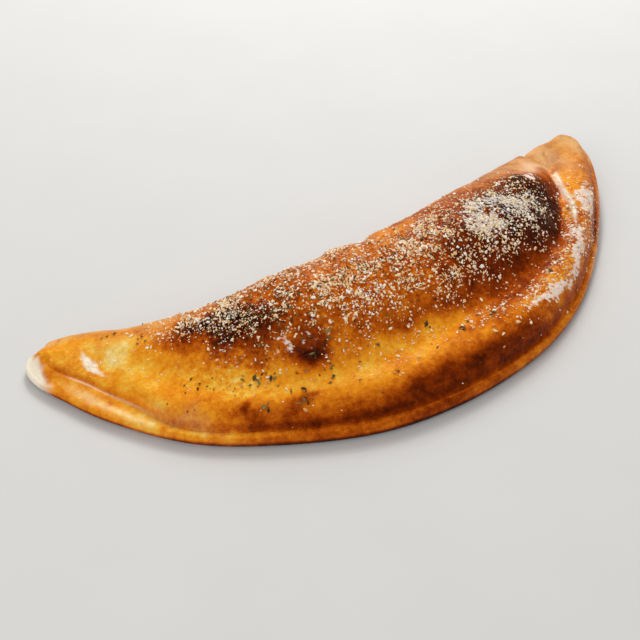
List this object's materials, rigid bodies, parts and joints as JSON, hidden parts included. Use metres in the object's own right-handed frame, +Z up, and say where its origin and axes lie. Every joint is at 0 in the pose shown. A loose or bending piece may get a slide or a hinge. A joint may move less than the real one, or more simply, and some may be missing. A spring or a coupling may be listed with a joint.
{
  "type": "calzone",
  "caption": "Large half-moon calzone: folded, stuffed dough baked golden brown, with a pinched and rolled seam, one upturned tip, grated cheese and dried herbs on top.",
  "frame": {"origin": "middle of the plan bounding box, on the flat underside", "axes": "+X from the left tip to the upturned right tip, +Y from the rolled seam to the fold, +Z up"},
  "size_m": [0.3648, 0.1524, 0.0514],
  "materials": {
    "crust": "baked golden-brown dough, glossy where oil and melted cheese lie",
    "cheese": "hard grated cheese, cream with toasted bits",
    "herbs": "dried herb leaves, brown-green and dull"
  },
  "bodies": {
    "root": {"calzone": "crust"}
  },
  "joints": []
}
